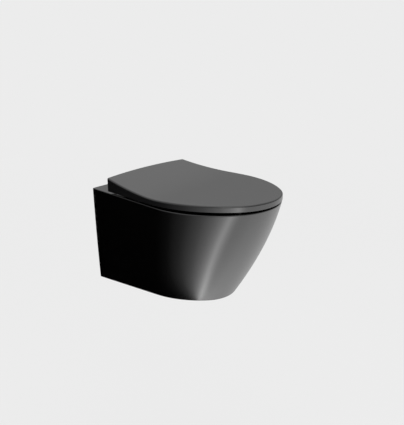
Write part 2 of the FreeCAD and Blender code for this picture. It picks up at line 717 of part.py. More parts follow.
for side, sign in (("left", "-1"), ("right", "1")):
    post_x = "(%s*post_spacing/2)" % sign
    base = rod("base_" + side, "Z", "post_base_size", "post_base_thick", x=post_x, y="-post_at",
               z="rim_height")
    base_hole = rod("base_hole_" + side, "Z", "clamp_screw_size", "post_base_thick + 10", x=post_x,
                    y="-post_at", z="rim_height - 5")
    sub_part(cut("hinge_base_raw_" + side, base, base_hole), "hinge_base_" + side)

    shank = rod("shank_" + side, "Z", "clamp_screw_size", "rim_plate + post_base_thick", x=post_x,
                y="-post_at", z=DECK_UNDER)
    collar = rod("collar_" + side, "Z", "post_size", "post_neck_start", x=post_x, y="-post_at",
                 z="rim_height + post_base_thick")
    neck = rod("neck_" + side, "Z", "post_neck", "post_neck_length", x=post_x, y="-post_at", z=NECK_LOW)
    head = rod("head_" + side, "Z", "post_size", "post_head_length", x=post_x, y="-post_at",
               z=NECK_LOW + " + post_neck_length")
    sub_part(fuse("post_raw_" + side, shank, collar, neck, head), "hinge_post_" + side)

    block_low = "(rim_height + post_base_thick + block_base_gap)"
    top = "(rim_height + block_top)"
    arm_low = "(%s - arm_floor)" % AXIS_Z
    boss = side_profile("boss_" + side, [
        ("block_back", block_low),
        ("block_front", block_low),
        ("block_front", top),
        ("hinge_at + 4", AXIS_Z + " + sqrt(knuckle_size^2/4 - 16)"),
        ("hinge_at", AXIS_Z),
        ("hinge_at", arm_low),
        ("block_back", arm_low),
    ], post_x, "block_width")
    barrel = rod("barrel_" + side, "X", "knuckle_size", "block_width", x=post_x + " - block_width/2",
                 y=AXIS_Y, z=AXIS_Z)
    shaft_bore = rod("shaft_bore_" + side, "X", "shaft_size", "block_width + 10",
                     x=post_x + " - block_width/2 - 5", y=AXIS_Y, z=AXIS_Z)
    post_bore = rod("post_bore_" + side, "Z", "post_size + 2*post_bore_gap",
                    POST_TOP + " - rim_height + catch_gap", x=post_x, y="-post_at", z="rim_height")
    slot = block(
        "slot_" + side, post_x + " - catch_width/2 - catch_gap", post_x + " + catch_width/2 + catch_gap",
        "-block_front + button_depth - catch_travel - catch_gap", "-catch_back + catch_travel + catch_gap",
        CATCH_LOW + " - catch_gap", CATCH_LOW + " + catch_thick + catch_gap",
    )
    button_middle = "(%s + catch_thick/2)" % CATCH_LOW
    window = block(
        "window_" + side, post_x + " - button_width/2 - catch_gap", post_x + " + button_width/2 + catch_gap",
        "-block_front - 5", "-block_front + button_depth + catch_gap",
        button_middle + " - button_height/2 - catch_gap", button_middle + " + button_height/2 + catch_gap",
    )
    pocket = rod("spring_pocket_" + side, "Y", "catch_spring_size + 2*catch_gap",
                 "catch_back - spring_pocket_back", x=post_x, y="-catch_back", z=button_middle)
    hinge_solid = fuse("block_solid_" + side, boss, barrel)
    sub_part(
        cut("block_raw_" + side, hinge_solid, shaft_bore, post_bore, slot, window, pocket),
        "hinge_block_" + side,
    )

    catch = block(
        "catch_" + side, post_x + " - catch_width/2", post_x + " + catch_width/2",
        "-block_front + button_depth - catch_travel", "-catch_back", CATCH_LOW, CATCH_LOW + " + catch_thick",
    )
    button = block(
        "button_" + side, post_x + " - button_width/2", post_x + " + button_width/2",
        "-block_front - catch_travel", "-block_front - catch_travel + button_depth",
        button_middle + " - button_height/2", button_middle + " + button_height/2",
    )
    catch_hole = rod("catch_hole_" + side, "Z", "post_size + 2*catch_gap", "catch_thick + 10", x=post_x,
                     y="-post_at - catch_travel", z=CATCH_LOW + " - 5")
    sub_part(
        cut("catch_raw_" + side, fuse("catch_solid_" + side, catch, button), catch_hole),
        "release_button_" + side,
    )
    spring = rod("spring_" + side, "Y", "catch_spring_size", "catch_back - spring_pocket_back", x=post_x,
                 y="-catch_back", z=button_middle)
    spring_bore = rod("spring_bore_" + side, "Y", "catch_spring_bore", "catch_back - spring_pocket_back + 10",
                      x=post_x, y="-catch_back - 5", z=button_middle)
    sub_part(cut("spring_raw_" + side, spring, spring_bore), "catch_spring_" + side)

# ---- hinge shafts, dampers and bushes -------------------------------------------------------------

BLOCK_INSIDE = "(post_spacing/2 - block_width/2 - side_gap)"
BLOCK_OUTSIDE = "(post_spacing/2 + block_width/2 + side_gap)"
SEAT_KNUCKLE = "(seat_knuckle_end - %s)" % BLOCK_OUTSIDE
LID_KNUCKLE = "(%s - lid_knuckle_end)" % BLOCK_INSIDE
SHAFT_END_GAP = "(knuckle_end_wall + 2*side_gap)"


def along_x(name, sign, near, length, diameter):
    """A cylinder about the hinge axis, from near to near + length on the side that sign gives."""
    start = near if sign == "1" else "-(%s) - (%s)" % (near, length)
    return rod(name, "X", diameter, length, x=start, y=AXIS_Y, z=AXIS_Z)


def shaft_sleeve(name, sign, near, length, before="5", after="5"):
    """A bush or damper round the shaft. Its bore starts before it and ends after it, or inside it
    where that way is negative."""
    body = along_x(name + "_body", sign, near, length, "bush_size")
    bore = along_x(name + "_bore", sign, "%s - (%s)" % (near, before),
                   "(%s) + %s + (%s)" % (before, length, after), "shaft_size + 2*running_gap")
    return sub_part(cut(name + "_raw", body, bore), name)


for side, sign in (("left", "-1"), ("right", "1")):
    near = "(lid_knuckle_end + %s)" % SHAFT_END_GAP
    length = "(seat_knuckle_end - lid_knuckle_end - 2*%s)" % SHAFT_END_GAP
    sub_part(along_x("shaft_" + side, sign, near, length, "shaft_size"), "hinge_shaft_" + side)

seat_bore_length = "(%s - knuckle_end_wall)" % SEAT_KNUCKLE
lid_bore_length = "(%s - knuckle_end_wall)" % LID_KNUCKLE
shaft_sleeve("seat_damper", "1", BLOCK_OUTSIDE, seat_bore_length, after="-side_gap")
shaft_sleeve("seat_bush", "-1", BLOCK_OUTSIDE, "bush_length")
shaft_sleeve("lid_damper", "-1", "(lid_knuckle_end + knuckle_end_wall)", lid_bore_length, before="-side_gap")
shaft_sleeve("lid_bush", "1", "(%s - bush_length)" % BLOCK_INSIDE, "bush_length")

# ---- seat ring ------------------------------------------------------------------------------------

SEAT_LOW = "(rim_height + lid_gap)"
SEAT_TOP = "(%s + seat_thick)" % SEAT_LOW
SEAT_BACK_AT = "(lid_corner_at + seat_back_step)"

seat_plan = flat_sketch("seat_plan", z=SEAT_LOW)
bell(seat_plan, "(lid_back - seat_back_inset)", SEAT_BACK_AT, "(lid_half - seat_inset)",
     "(lid_reach - seat_inset)", "lid_widest_at")
seat_slab = prism("seat_slab", seat_plan, "seat_thick")
seat_hole = oval_prism(
    "seat_hole", "seat_hole_half", "seat_hole_back", "seat_hole_front", SEAT_LOW + " - 5", SEAT_TOP + " + 5",
)
SEAT_REAR = -value(SEAT_BACK_AT) - 0.01
seat_plate = rounded(
    "seat_plate", cut("seat_plate_sharp", seat_slab, seat_hole),
    lambda box: ("seat_round" if box.YMin < SEAT_REAR else None) if level_edge(box) else
    ("seat_corner" if box.YMin > SEAT_REAR - 1 else None),
)
seat_webs, seat_barrels, seat_bores = [], [], []
for side, sign in (("left", "-1"), ("right", "1")):
    middle = "(%s*(%s + seat_knuckle_end)/2)" % (sign, BLOCK_OUTSIDE)
    seat_webs.append(side_profile("seat_web_" + side, [
        ("hinge_at", AXIS_Z + " - knuckle_size/2"),
        (SEAT_BACK_AT + " + 2", SEAT_LOW),
        (SEAT_BACK_AT + " + 25", SEAT_TOP),
        (SEAT_BACK_AT + " + 5", SEAT_TOP),
        ("hinge_at + 6", AXIS_Z + " + sqrt(knuckle_size^2/4 - 36)"),
    ], middle, SEAT_KNUCKLE))
    seat_barrels.append(along_x("seat_barrel_" + side, sign, BLOCK_OUTSIDE, SEAT_KNUCKLE, "knuckle_size"))
    seat_bores.append(
        along_x("seat_bore_" + side, sign, BLOCK_OUTSIDE + " - 5", seat_bore_length + " + 5", "bush_size"),
    )
seat = cut("seat_raw", fuse("seat_solid", seat_plate, *seat_webs, *seat_barrels), *seat_bores)
sub_part(seat, "seat_ring")

# ---- lid ------------------------------------------------------------------------------------------

LID_LOW = "(rim_height + lid_gap)"
LID_TOP = "(%s + lid_edge)" % LID_LOW


def under_lid_top(name, drop, low):
    """Everything below the lid's upper face, lowered by drop: flat in front, rising to the back."""
    reach = "(lid_rise_from - lid_corner_at)"
    radius = "((%s^2 + lid_rise^2) / (2*lid_rise))" % reach
    flat = "(%s - %s)" % (LID_TOP, drop)
    sketch = flat_sketch(name + "_side", SIDE_VIEW, x="-lid_half - 10")
    behind = "(lid_rise_from - 10)"
    lift = "(%s - sqrt(%s^2 - %s^2))" % (radius, radius, behind)
    bend = "(%s + %s)" % (flat, radius)
    front, start = point("-lid_reach - 10", flat), point("-lid_rise_from", flat)
    back, back_foot = point("-10", flat + " + " + lift), point("-10", low)
    front_foot = point("-lid_reach - 10", low)
    pieces = sketch.addGeometry([
        Part.LineSegment(front_foot, back_foot),
        Part.LineSegment(back_foot, back),
        arc(point("-lid_rise_from", bend), value(radius), start, back),
        Part.LineSegment(start, front),
        Part.LineSegment(front, front_foot),
    ])
    floor, rear, curve, level, nose = pieces
    join(sketch, "Coincident", floor, 2, rear, 1)
    join(sketch, "Coincident", rear, 2, curve, 2)
    join(sketch, "Coincident", curve, 1, level, 1)
    join(sketch, "Coincident", level, 2, nose, 1)
    join(sketch, "Coincident", nose, 2, floor, 1)
    pin_point(sketch, floor, 1, "-lid_reach - 10", low)
    pin_point(sketch, floor, 2, "-10", low)
    pin_point(sketch, level, 1, "-lid_rise_from", flat)
    pin_point(sketch, level, 2, "-lid_reach - 10", flat)
    pin_point(sketch, rear, 2, "-10", flat + " + " + lift)
    fix(sketch, "Radius", (curve,), radius)
    return prism(name, sketch, "2*lid_half + 20")


def lid_plan(name, low, inset="0"):
    sketch = flat_sketch(name + "_plan", z=low)
    bell(sketch, "lid_back", "(lid_corner_at + %s)" % inset, "lid_half", "lid_reach", "lid_widest_at",
         inset, "lid_bow")
    return prism(name, sketch, "100")


lid_outside = rounded(
    "lid_outside",
    common("lid_sharp", lid_plan("lid_column", LID_LOW), under_lid_top("lid_top", "0", LID_LOW + " - 5")),
    lambda box: "lid_corner" if box.XLength < 0.01 and box.YLength < 0.01 else
    "lid_round" if box.ZMin > value(LID_TOP) - 0.01 and box.YLength > 1 else None,
)
lid_ceiling = under_lid_top("lid_ceiling", "lid_wall", LID_LOW + " - 10")
lid_inside = common("lid_inside", lid_plan("lid_hollow", LID_LOW + " - 5", "lid_wall"), lid_ceiling)
window_block = block(
    "window_block", "-hinge_window_half", "hinge_window_half", "-lid_corner_at - 5", "0",
    LID_LOW + " - 5", LID_TOP + " + lid_rise + 10",
)
hinge_window = common("hinge_window", window_block, lid_ceiling)
lid_shell = cut("lid_shell", lid_outside, lid_inside, hinge_window)
lid_knuckles, lid_bores = [], []
for side, sign in (("left", "-1"), ("right", "1")):
    barrel = along_x("lid_barrel_" + side, sign, "lid_knuckle_end", LID_KNUCKLE, "knuckle_size")
    web = block(
        "lid_web_" + side,
        "%s*(lid_knuckle_end + %s)/2 - %s/2" % (sign, BLOCK_INSIDE, LID_KNUCKLE),
        "%s*(lid_knuckle_end + %s)/2 + %s/2" % (sign, BLOCK_INSIDE, LID_KNUCKLE),
        AXIS_Y + " - lid_web/2", AXIS_Y + " + lid_web/2", AXIS_Z, LID_TOP + " + lid_rise + 10",
    )
    lid_knuckles += [barrel, common("lid_rib_" + side, web, lid_outside)]
    lid_bores.append(along_x(
        "lid_bore_" + side, sign, "(lid_knuckle_end + knuckle_end_wall)", lid_bore_length + " + 5",
        "bush_size",
    ))
sub_part(cut("lid_raw", fuse("lid_solid", lid_shell, *lid_knuckles), *lid_bores), "lid")

# ---- pads -----------------------------------------------------------------------------------------


def pads(label, low, high, diameter, places):
    """Round pads, a pair for each place across and back from the lid's nose."""
    made = []
    for number, (across, behind) in enumerate(places):
        for side, sign in (("left", "-"), ("right", "")):
            name = "%s_%d_%s" % (label, number, side)
            depth = "(%s) - (%s)" % (high, low)
            made.append(rod(name, "Z", diameter, depth, x=sign + across, y=behind + " - lid_reach", z=low))
    return sub_part(fuse(label + "_raw", *made), label)


pads("seat_pads", "rim_height + pad_gap", SEAT_LOW, "seat_pad_size",
     [("(lid_half - rear_pad_inset)", "rear_pad_behind"), ("front_pad_across", "front_pad_behind")])
pads("lid_pads", SEAT_TOP + " + pad_gap", LID_TOP + " - lid_wall", "lid_pad_size",
     [("(lid_half - lid_pad_inset)", "lid_pad_behind"), ("lid_front_pad_across", "lid_front_pad_behind")])

# ---- check every piece, then write it ---------------------------------------------------------

doc.recompute()
for thing in doc.Objects:
    if "Invalid" in thing.State or "Error" in thing.State:
        raise SystemExit("%s did not build: %s" % (thing.Name, thing.State))
for thing in SUB_PARTS:
    shape = thing.Shape
    if shape.isNull() or not shape.isValid() or not shape.Solids:
        raise SystemExit("%s has no sound solid" % thing.Label)
os.makedirs("parts", exist_ok=True)
for thing in SUB_PARTS:
    thing.Shape.exportStep("parts/%s.step" % thing.Label)
    print("%-22s %2d solids %12.1f mm3" % (thing.Label, len(thing.Shape.Solids), thing.Shape.Volume))
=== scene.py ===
# %% [markdown]
# # A wall hung toilet in black glaze
# The CAD model comes in as a fixed frame, in metres, with its origin on the wall. We give each of its
# pieces a finish, and model the skins that catch the light again with finer faces, because a gloss
# black surface shows every facet.

# %% Load the frame
import json
import math

import bmesh
import bpy
from mathutils import Matrix, Vector


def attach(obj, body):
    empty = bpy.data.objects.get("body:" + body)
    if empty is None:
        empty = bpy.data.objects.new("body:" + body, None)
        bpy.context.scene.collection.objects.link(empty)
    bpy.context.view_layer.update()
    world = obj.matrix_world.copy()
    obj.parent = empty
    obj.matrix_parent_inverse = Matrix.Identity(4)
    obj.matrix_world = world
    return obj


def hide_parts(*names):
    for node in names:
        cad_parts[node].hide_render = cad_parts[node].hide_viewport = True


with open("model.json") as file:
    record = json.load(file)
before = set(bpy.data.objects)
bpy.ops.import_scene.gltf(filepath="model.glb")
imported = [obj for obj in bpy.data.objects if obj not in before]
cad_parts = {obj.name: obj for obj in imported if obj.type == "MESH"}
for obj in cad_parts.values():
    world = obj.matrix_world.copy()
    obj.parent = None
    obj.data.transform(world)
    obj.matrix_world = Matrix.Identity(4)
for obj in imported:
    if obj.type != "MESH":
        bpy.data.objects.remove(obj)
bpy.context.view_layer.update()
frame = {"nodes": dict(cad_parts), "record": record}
nodes = frame["nodes"]

# %% [markdown]
# ## The camera
# It stands in front and to the left, a little above the rim, far enough that the pan keeps nearly
# parallel sides. An empty scene has no camera, so we make one and turn it to look along a line.

# %% Camera
AZIMUTH, ELEVATION = math.radians(-51.67), math.radians(17.24)
TARGET = Vector((0.03247, -0.26011, 0.01258))
DISTANCE = 1.67893
FOCAL_LENGTH, SENSOR_WIDTH = 49.36, 36.0

towards_camera = Vector((
    math.sin(AZIMUTH) * math.cos(ELEVATION),
    -math.cos(AZIMUTH) * math.cos(ELEVATION),
    math.sin(ELEVATION),
))
lens = bpy.data.cameras.new("camera")
lens.lens = FOCAL_LENGTH
lens.sensor_width = SENSOR_WIDTH
camera = bpy.data.objects.new("camera", lens)
camera.location = TARGET + towards_camera * DISTANCE
camera.rotation_euler = (-towards_camera).to_track_quat("-Z", "Y").to_euler()
bpy.context.scene.collection.objects.link(camera)
bpy.context.scene.camera = camera
print("camera at", [round(v, 3) for v in camera.location])

# %% [markdown]
# ## Sums between shader sockets
# A finish is a small graph. Written as Python sums it reads like a recipe: each sum between two
# sockets adds one Math node. Any other node comes from one method.


# %% Shader sums
class Wire:
    """One output of a node, with sums on it."""

    def __init__(self, finish, socket):
        self.finish = finish
        self.socket = socket

    def _sum(self, operation, first, second):
        return self.finish.node("ShaderNodeMath", {"operation": operation}, {0: first, 1: second})

    def __add__(self, other):
        return self._sum("ADD", self, other)

    def __radd__(self, other):
        return self._sum("ADD", other, self)

    def __sub__(self, other):
        return self._sum("SUBTRACT", self, other)

    def __rsub__(self, other):
        return self._sum("SUBTRACT", other, self)

    def __mul__(self, other):
        return self._sum("MULTIPLY", self, other)

    def __rmul__(self, other):
        return self._sum("MULTIPLY", other, self)

    def __truediv__(self, other):
        return self._sum("DIVIDE", self, other)


class Finish:
    """A material and the graph behind it."""

    def __init__(self, name):
        self.material = bpy.data.materials.new(name)
        self.material.use_nodes = True
        self.tree = self.material.node_tree
        self.shader = self.tree.nodes["Principled BSDF"]

    def node(self, kind, settings=None, sockets=None, output=0):
        made = self.tree.nodes.new(kind)
        for key, value in (settings or {}).items():
            if key == "stops":
                set_stops(made.color_ramp, value)
            else:
                setattr(made, key, value)
        for key, value in (sockets or {}).items():
            self.feed(made.inputs[key], value)
        return Wire(self, made.outputs[output])

    def feed(self, socket, value):
        if isinstance(value, Wire):
            self.tree.links.new(value.socket, socket)
        else:
            socket.default_value = value

    def set(self, **sockets):
        for key, value in sockets.items():
            self.feed(self.shader.inputs[key.replace("_", " ")], value)
        return self


def set_stops(ramp, stops):
    """Stops are (place, grey) or (place, (r, g, b)) pairs, two or more."""
    while len(ramp.elements) < len(stops):
        ramp.elements.new(0.5)
    for element, (place, colour) in zip(ramp.elements, stops):
        element.position = place
        colour = (colour,) * 3 if isinstance(colour, float) else colour
        element.color = (*colour, 1.0)


print("sums ready")

# %% [markdown]
# ## Noise in the object's own space
# Every pattern below reads Object coordinates in metres, so a grain keeps its real size on every
# piece. Scale is in waves to the metre.


# %% Noise helpers
def place(finish):
    return finish.node("ShaderNodeTexCoord", output="Object")


def noise(finish, scale, detail=2.0, roughness=0.5, stretch=None):
    where = place(finish)
    if stretch:
        where = finish.node("ShaderNodeMapping", {}, {"Vector": where, "Scale": stretch})
    return finish.node(
        "ShaderNodeTexNoise", {"noise_dimensions": "3D"},
        {"Vector": where, "Scale": scale, "Detail": detail, "Roughness": roughness},
    )


def relief(finish, height, distance, strength=1.0):
    return finish.node("ShaderNodeBump", {}, {"Height": height, "Distance": distance, "Strength": strength})


def tint(finish, amount, dark, light):
    """A colour between two, led by a value from 0 to 1."""
    return finish.node("ShaderNodeValToRGB", {"stops": [(0.0, dark), (1.0, light)]}, {"Fac": amount})


print("noise ready")

# %% [markdown]
# ## Glaze
# The pan is vitreous china dipped in black glaze. The glaze flows before it sets, so its skin is
# smooth but never quite flat: long, very shallow waves a few centimetres apart, with a fine orange
# peel on top. That is a bump from two noises. The colour is nearly black, and a trace lighter where
# the glaze ran thin.

# %% Glaze
glaze = Finish("black_glaze")
waves = noise(glaze, scale=22.0, detail=1.0)
peel = noise(glaze, scale=900.0)
pool = noise(glaze, scale=9.0)
glaze.set(
    Base_Color=tint(glaze, pool, dark=(0.0006, 0.0006, 0.0007), light=(0.0012, 0.0011, 0.0012)),
    Roughness=0.17 + 0.04 * pool,
    Normal=relief(glaze, waves + 0.012 * peel, distance=0.00025, strength=0.6),
)
glaze.set(IOR=1.52, Coat_Weight=0.35, Coat_Roughness=0.16, Coat_IOR=1.5)
print("glaze:", len(glaze.tree.nodes), "nodes")

# %% [markdown]
# ## Lid and seat plastic
# The lid is moulded thermoset with a polished skin. Next to the glaze it is a shade less deep, and it
# has fine scuffs from cleaning. They run from front to back, the way a cloth is wiped, so their noise is
# stretched along Y.

# %% Gloss plastic
gloss = Finish("black_gloss_plastic")
cloud = noise(gloss, scale=14.0, detail=3.0)
scuff = noise(gloss, scale=240.0, detail=4.0, roughness=0.7, stretch=(1.0, 0.12, 1.0))
gloss.set(
    Base_Color=tint(gloss, cloud, dark=(0.0040, 0.0040, 0.0043), light=(0.0062, 0.0062, 0.0064)),
    Roughness=0.17 + 0.03 * cloud + 0.04 * scuff,
    Normal=relief(gloss, cloud + 0.01 * scuff, distance=0.0002, strength=0.4),
)
gloss.set(IOR=1.5, Coat_Weight=0.3, Coat_Roughness=0.12)
print("gloss plastic:", len(gloss.tree.nodes), "nodes")

# %% [markdown]
# ## The small parts
# Hinge posts and shafts are turned stainless steel. Squeezing their noise along Z gives the posts the
# fine level rings that a lathe leaves. Zinc plated bars are duller, with a spangle. Acetal bushes are
# a waxy off white, and rubber is matt with a fine grain.


# %% Small finishes
def metal(name, base, rough, scale, stretch=None):
    """Drawn or turned steel: noise squeezed along the way the tool went."""
    finish = Finish(name)
    lines = noise(finish, scale, detail=3.0, roughness=0.6, stretch=stretch)
    stain = noise(finish, scale=60.0)
    finish.set(
        Base_Color=tint(finish, stain, dark=tuple(0.86 * c for c in base), light=base),
        Roughness=rough + 0.12 * lines,
        Normal=relief(finish, lines, distance=0.00003, strength=0.5),
    )
    finish.set(Metallic=1.0)
    return finish


def moulded(name, dark, light, rough, grain, depth):
    """Moulded plastic or rubber: a fine grain, a slow change of shade."""
    finish = Finish(name)
    pits = noise(finish, grain, detail=3.0, roughness=0.6)
    shade = noise(finish, scale=35.0)
    finish.set(
        Base_Color=tint(finish, shade, dark, light),
        Roughness=rough + 0.1 * pits,
        Normal=relief(finish, pits, distance=depth, strength=0.5),
    )
    return finish


turned = metal("turned_steel", base=(0.60, 0.60, 0.61), rough=0.22, scale=90.0, stretch=(1.0, 1.0, 14.0))
plated = metal("zinc_plate", base=(0.52, 0.53, 0.55), rough=0.34, scale=420.0)
hinge_black = moulded(
    "hinge_plastic", dark=(0.008, 0.008, 0.008), light=(0.013, 0.013, 0.013),
    rough=0.3, grain=1500.0, depth=0.00002,
)
acetal = moulded(
    "acetal", dark=(0.50, 0.50, 0.47), light=(0.60, 0.60, 0.57),
    rough=0.42, grain=1200.0, depth=0.00002,
)
sleeve_grey = moulded(
    "sleeve_plastic", dark=(0.60, 0.60, 0.58), light=(0.72, 0.72, 0.70),
    rough=0.5, grain=900.0, depth=0.00003,
)
rubber = moulded(
    "rubber", dark=(0.018, 0.018, 0.018), light=(0.032, 0.032, 0.031),
    rough=0.65, grain=1600.0, depth=0.00005,
)
pad_black = moulded(
    "pad_rubber", dark=(0.006, 0.006, 0.006), light=(0.011, 0.011, 0.011),
    rough=0.6, grain=1600.0, depth=0.00004,
)
print("small finishes ready")

# %% [markdown]
# ## A finish for each CAD piece
# The record names a material slot for each piece. One table from slots to finishes dresses them all,
# and the skins made below look up their finish in the same table.

# %% Dress the CAD nodes by the record's material slots
FINISHES = {
    "glaze": glaze, "lid_gloss": gloss, "seat_gloss": gloss, "hinge_plastic": hinge_black,
    "bush_plastic": acetal, "hinge_metal": turned, "fixing_metal": plated, "sleeve_plastic": sleeve_grey,
    "rubber": rubber, "pad_rubber": pad_black,
}
SLOTS = {entry["node"]: entry["material_slot"] for entry in frame["record"]["subparts"]}
for node, slot in SLOTS.items():
    mesh = nodes[node].data
    mesh.materials.clear()
    mesh.materials.append(FINISHES[slot].material)
print("dressed", len(SLOTS), "nodes")

# %% [markdown]
# ## Outlines by spinning a point
# Seen from above, pan, lid and seat share one kind of outline: a round nose, a flatter arc down each
# side, then a straight flank to the wall. Both arcs can be drawn by spinning a single point round a
# centre, and the flank by pulling that point along. Half an outline is enough, because a mirror makes
# the other side. An inset moves the whole line inwards by the same step, which rounds an edge when
# several insets lie above each other on a quarter circle.

# %% Half an outline
BLEND = math.radians(45)
NOSE_STEPS, SIDE_STEPS, FLANK_STEPS = 20, 26, 10
OVAL_END_STEPS, OVAL_SIDE_STEPS = 16, 26


def arc_radii(half, length):
    """Side and end radius of a quarter oval whose arcs meet at the blend angle."""
    excess = (length - half) / (math.cos(BLEND) + math.sin(BLEND) - 1)
    end = length - excess * math.cos(BLEND)
    return end + excess, end


def spin_point(bm, tip, centre, angle, steps):
    """Spin the last point of a line round a centre. Returns the new edges and the new last point."""
    before = set(bm.edges)
    spun = bmesh.ops.spin(
        bm, geom=[tip], cent=centre, axis=(0, 0, 1), dvec=(0, 0, 0), angle=angle, steps=steps,
        use_merge=False, use_duplicate=False,
    )
    last = [item for item in spun["geom_last"] if isinstance(item, bmesh.types.BMVert)][0]
    return [edge for edge in bm.edges if edge not in before], last


def pull_point(bm, tip, goal, steps):
    """Pull the last point of a line straight to a goal, in steps."""
    edges, step = [], (goal - tip.co) / steps
    for _ in range(steps):
        made = bmesh.ops.extrude_vert_indiv(bm, verts=[tip])
        tip = made["verts"][0]
        bmesh.ops.translate(bm, verts=[tip], vec=step)
        edges += made["edges"]
    return edges, tip


def half_outline(bm, size, height, inset=0.0, flank_end=None):
    """The right half of a pan outline, from the nose to the end of its flank, and its last point.
    The flank ends at the wall unless it is given another place."""
    side, end = arc_radii(size["half"], size["reach"] - size["widest_at"])
    nose_centre = Vector((0, end - size["reach"], height))
    side_centre = Vector((size["half"] - side, -size["widest_at"], height))
    tip = bm.verts.new(nose_centre + Vector((0, inset - end, 0)))
    edges, tip = spin_point(bm, tip, nose_centre, BLEND, NOSE_STEPS)
    goal = Vector((*(flank_end or (size["back"] - inset, 0.0)), height))
    spoke = goal - side_centre
    leave = math.atan2(spoke.y, spoke.x) - math.acos((side - inset) / spoke.length)
    more, tip = spin_point(bm, tip, side_centre, leave + math.pi / 2 - BLEND, SIDE_STEPS)
    edges += more
    more, tip = pull_point(bm, tip, goal, FLANK_STEPS)
    return edges + more, tip


def half_oval(bm, half, back, front, height, grow=0.0):
    """The right half of a closed oval, from its front to its back."""
    side, end = (radius + grow for radius in arc_radii(half, (front - back) / 2))
    middle = -(front + back) / 2
    tip = bm.verts.new((0, -front - grow, height))
    edges, tip = spin_point(bm, tip, Vector((0, end - front - grow, height)), BLEND, OVAL_END_STEPS)
    side_centre = Vector((half + grow - side, middle, height))
    more, tip = spin_point(bm, tip, side_centre, math.pi - 2 * BLEND, OVAL_SIDE_STEPS)
    edges += more
    more, tip = spin_point(bm, tip, Vector((0, grow - back - end, height)), BLEND, OVAL_END_STEPS)
    tip.co.x = 0
    return edges + more


print("the nose and side arcs meet at", round(math.degrees(BLEND)), "degrees")

# %% [markdown]
# ## From outlines to a skin
# Lines that lie above each other are bridged pair by pair into bands of quads. A round edge is a
# quarter circle of insets, so one list of (inset, height) pairs says how any wall goes up, over an
# edge and on to the next face.


# %% Skins
SAME, NEAR = 1e-6, 1e-5


def quarter(radius, height, upwards=True, steps=5):
    """(inset, height) pairs over a round edge that ends in a level face at height."""
    pairs = []
    for step in range(steps + 1):
        turn = math.pi / 2 * step / steps
        drop = radius * (1 - math.sin(turn)) * (1 if upwards else -1)
        pairs.append((radius * (1 - math.cos(turn)), height - drop))
    return pairs


def bridge(bm, lines):
    """Bands of quads between each line and the next."""
    for line, following in zip(lines, lines[1:]):
        bmesh.ops.bridge_loops(bm, edges=line + following)


def everything(bm):
    return bm.verts[:] + bm.edges[:] + bm.faces[:]


def mirror_half(bm):
    """Add the left half and join it to the right half along the middle."""
    bmesh.ops.mirror(bm, geom=everything(bm), matrix=Matrix.Identity(4), merge_dist=SAME, axis="X")
    bmesh.ops.remove_doubles(bm, verts=bm.verts, dist=SAME)


def level(height):
    """A test for points at this height."""
    return lambda co: abs(co.z - height) < SAME


def open_edges(bm, test):
    """Edges with one face whose two ends both pass a test."""
    return [edge for edge in bm.edges if edge.is_boundary and all(test(vert.co) for vert in edge.verts)]


def close_line(bm, test):
    """Join the two loose ends of a line on the wall plane with an edge."""
    line = [vert for vert in bm.verts if test(vert.co)]
    wall = max(vert.co.y for vert in line)
    ends = sorted((vert for vert in line if abs(vert.co.y - wall) < SAME), key=lambda vert: vert.co.x)
    bm.edges.new((ends[0], ends[-1]))


def finish_piece(name, bm, body, replaced):
    """Turn a bmesh into an object that rides on a body and stands for a CAD node."""
    bmesh.ops.recalc_face_normals(bm, faces=bm.faces)
    mesh = bpy.data.meshes.new(name)
    bm.to_mesh(mesh)
    bm.free()
    for polygon in mesh.polygons:
        polygon.use_smooth = True
    mesh.materials.append(FINISHES[SLOTS[replaced]].material)
    piece = bpy.data.objects.new(name, mesh)
    bpy.context.scene.collection.objects.link(piece)
    weighted = piece.modifiers.new("even_shading", "WEIGHTED_NORMAL")
    weighted.weight = 100
    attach(piece, body)
    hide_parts(replaced)
    print(name, len(mesh.polygons), "faces")
    return piece


example = quarter(radius=0.003, height=0.080)
print("a 3 mm edge, mm:", [(round(i * 1000, 2), round(h * 1000, 2)) for i, h in example])

# %% [markdown]
# ## The pan's skin
# The pan is wide and round at the rim and narrow at the foot, and between them its side bulges a
# little. Each size of its outline follows a parabola through three heights, which gives a fair curve
# with no flat spots. The skin is glazed ceramic 11 mm thick: an outer wall with a rounded foot and
# rim, an inner wall, and a deck with the mouth of the bowl in it. The back is open, where the pan
# meets the wall.

# %% Pan skin
RIM, DECK_UNDER, FOOT, FOOT_INSIDE, SKIN = 0.080, 0.069, -0.2015, -0.1905, 0.011
PAN = {
    "back": (0.1456, 0.1412, 0.1342),
    "half": (0.1835, 0.1754, 0.1237),
    "reach": (0.5160, 0.4619, 0.3844),
    "widest_at": (0.3090, 0.2838, 0.2097),
}
MOUTH = (0.1456, 0.130, 0.474)
FOOT_ROUND, RIM_ROUND, MOUTH_ROUND = 0.004, 0.003, 0.0025
OUTSIDE_LINES, INSIDE_LINES = 30, 12


def pan_size(height):
    """The pan's outline sizes at a height, on parabolas through rim, belly and foot."""
    down = (RIM - height) / (RIM - FOOT)
    return {
        name: rim + down * (4 * belly - 3 * rim - foot) + down ** 2 * (2 * rim - 4 * belly + 2 * foot)
        for name, (rim, belly, foot) in PAN.items()
    }


def between(low, high, count):
    """Heights between two others, without them."""
    return [low + (high - low) * step / (count + 1) for step in range(1, count + 1)]


